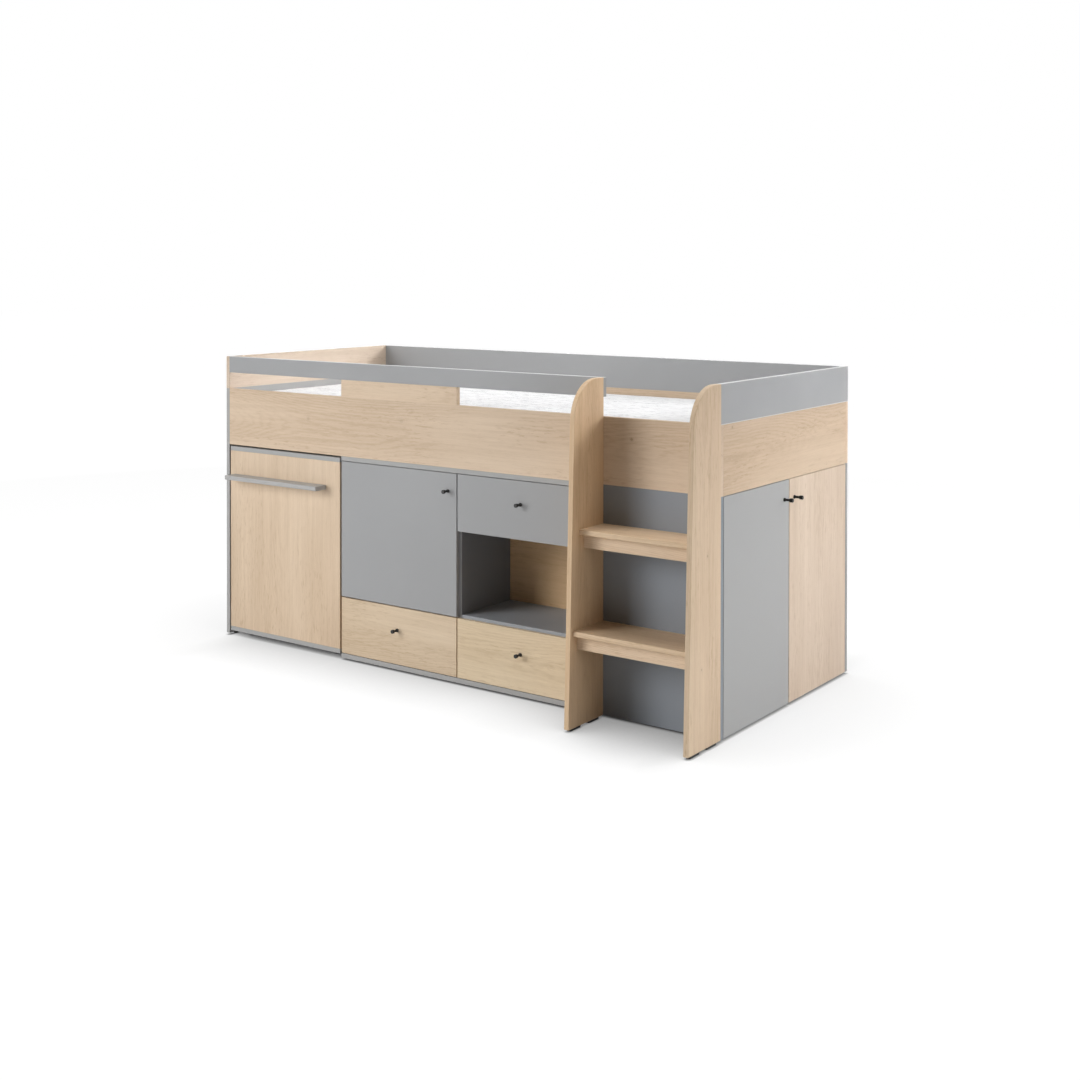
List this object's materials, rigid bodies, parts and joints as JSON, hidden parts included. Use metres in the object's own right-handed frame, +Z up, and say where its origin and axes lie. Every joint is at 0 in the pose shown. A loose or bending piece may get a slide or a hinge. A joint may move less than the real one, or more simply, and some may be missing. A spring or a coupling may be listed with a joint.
{
  "type": "cabin bed",
  "caption": "Raised single bed in grey and oak-look boards over a pull-out desk, a small chest with an open niche and an end wardrobe, with a fixed ladder and a mattress.",
  "frame": {"origin": "middle of the footprint's bounding box, on the floor", "axes": "+X along the bed towards the ladder and the wardrobe's end doors, +Y from the front faces towards the wall side, +Z up"},
  "size_m": [2.072, 1.14, 1.05],
  "materials": {
    "grey_laminate": "light grey melamine-faced chipboard, satin",
    "oak_laminate": "pale oak-look melamine-faced chipboard, satin",
    "oak_board": "thin oak-look hardboard, satin",
    "pine": "sanded softwood",
    "mattress_cover": "white melange knit ticking",
    "black_plastic": "matt moulded plastic",
    "black_rubber": "matt rubber tyre",
    "black_metal": "matt black coated metal",
    "zinc_steel": "bright zinc-plated steel",
    "drawer_white": "white-faced board"
  },
  "bodies": {
    "frame": {"left_side_panel": "grey_laminate", "left_end_board": "oak_laminate", "right_end_rail": "oak_laminate", "right_end_guard": "grey_laminate", "front_rail": "oak_laminate", "guard_spacer": "oak_laminate", "front_guard": "grey_laminate", "back_rail": "oak_laminate", "back_guard": "grey_laminate", "slat_ledgers": "pine", "slats": "pine", "mattress": "mattress_cover", "ladder_stile_left": "oak_laminate", "ladder_stile_right": "oak_laminate", "ladder_treads": "oak_laminate", "ladder_aprons": "oak_laminate", "floor_gliders": "black_plastic", "chest_top": "grey_laminate", "chest_bottom": "grey_laminate", "chest_side": "grey_laminate", "chest_divider": "grey_laminate", "wardrobe_side": "grey_laminate", "chest_fixed_shelves": "grey_laminate", "chest_back": "oak_board", "loose_shelves": "grey_laminate", "shelf_pins": "zinc_steel", "drawer_rails": "zinc_steel", "wardrobe_front_panel": "grey_laminate", "wardrobe_partition": "grey_laminate", "wardrobe_top": "grey_laminate", "wardrobe_floor": "grey_laminate", "wardrobe_back_panel": "grey_laminate", "hinge_arms": "zinc_steel", "desk_guides": "black_plastic"},
    "desk": {"desk_top": "grey_laminate", "desk_front_panel": "oak_laminate", "desk_base": "grey_laminate", "desk_back_panel": "oak_laminate", "desk_side_panel": "oak_laminate", "desk_handle": "grey_laminate", "castor_brackets": "zinc_steel"},
    "front_castors": {"front_castor_wheels": "black_rubber"},
    "rear_castors": {"rear_castor_wheels": "black_rubber"},
    "cupboard_door": {"cupboard_door": "grey_laminate", "cupboard_knob": "black_metal", "cupboard_hinge_cups": "zinc_steel"},
    "upper_drawer": {"upper_drawer_front": "grey_laminate", "upper_drawer_box": "drawer_white", "upper_drawer_knob": "black_metal"},
    "lower_left_drawer": {"lower_left_drawer_front": "oak_laminate", "lower_left_drawer_box": "drawer_white", "lower_left_drawer_knob": "black_metal"},
    "lower_right_drawer": {"lower_right_drawer_front": "oak_laminate", "lower_right_drawer_box": "drawer_white", "lower_right_drawer_knob": "black_metal"},
    "front_end_door": {"front_end_door": "grey_laminate", "front_end_door_fittings": "zinc_steel"},
    "rear_end_door": {"rear_end_door": "oak_laminate", "rear_end_door_fittings": "zinc_steel"}
  },
  "joints": [
    {"name": "desk_slide", "type": "slide", "parent": "frame", "child": "desk", "axis": [0, -1, 0], "range_m": [0, 0.65]},
    {"name": "front_castor_spin", "type": "hinge", "parent": "desk", "child": "front_castors", "pos_m": [-0.7415, -0.312, 0.018], "axis": [1, 0, 0], "continuous": true},
    {"name": "rear_castor_spin", "type": "hinge", "parent": "desk", "child": "rear_castors", "pos_m": [-0.7415, 0.428, 0.018], "axis": [1, 0, 0], "continuous": true},
    {"name": "cupboard_door_hinge", "type": "hinge", "parent": "frame", "child": "cupboard_door", "pos_m": [-0.461, -0.372, 0.464], "axis": [0, 0, -1], "range_deg": [0, 90]},
    {"name": "upper_drawer_slide", "type": "slide", "parent": "frame", "child": "upper_drawer", "axis": [0, -1, 0], "range_m": [0, 0.2]},
    {"name": "lower_left_drawer_slide", "type": "slide", "parent": "frame", "child": "lower_left_drawer", "axis": [0, -1, 0], "range_m": [0, 0.2]},
    {"name": "lower_right_drawer_slide", "type": "slide", "parent": "frame", "child": "lower_right_drawer", "axis": [0, -1, 0], "range_m": [0, 0.2]},
    {"name": "front_end_door_hinge", "type": "hinge", "parent": "frame", "child": "front_end_door", "pos_m": [1.006, -0.353, 0.363], "axis": [0, 0, -1], "range_deg": [0, 100]},
    {"name": "rear_end_door_hinge", "type": "hinge", "parent": "frame", "child": "rear_end_door", "pos_m": [1.006, 0.551, 0.363], "axis": [0, 0, 1], "range_deg": [0, 100]}
  ]
}
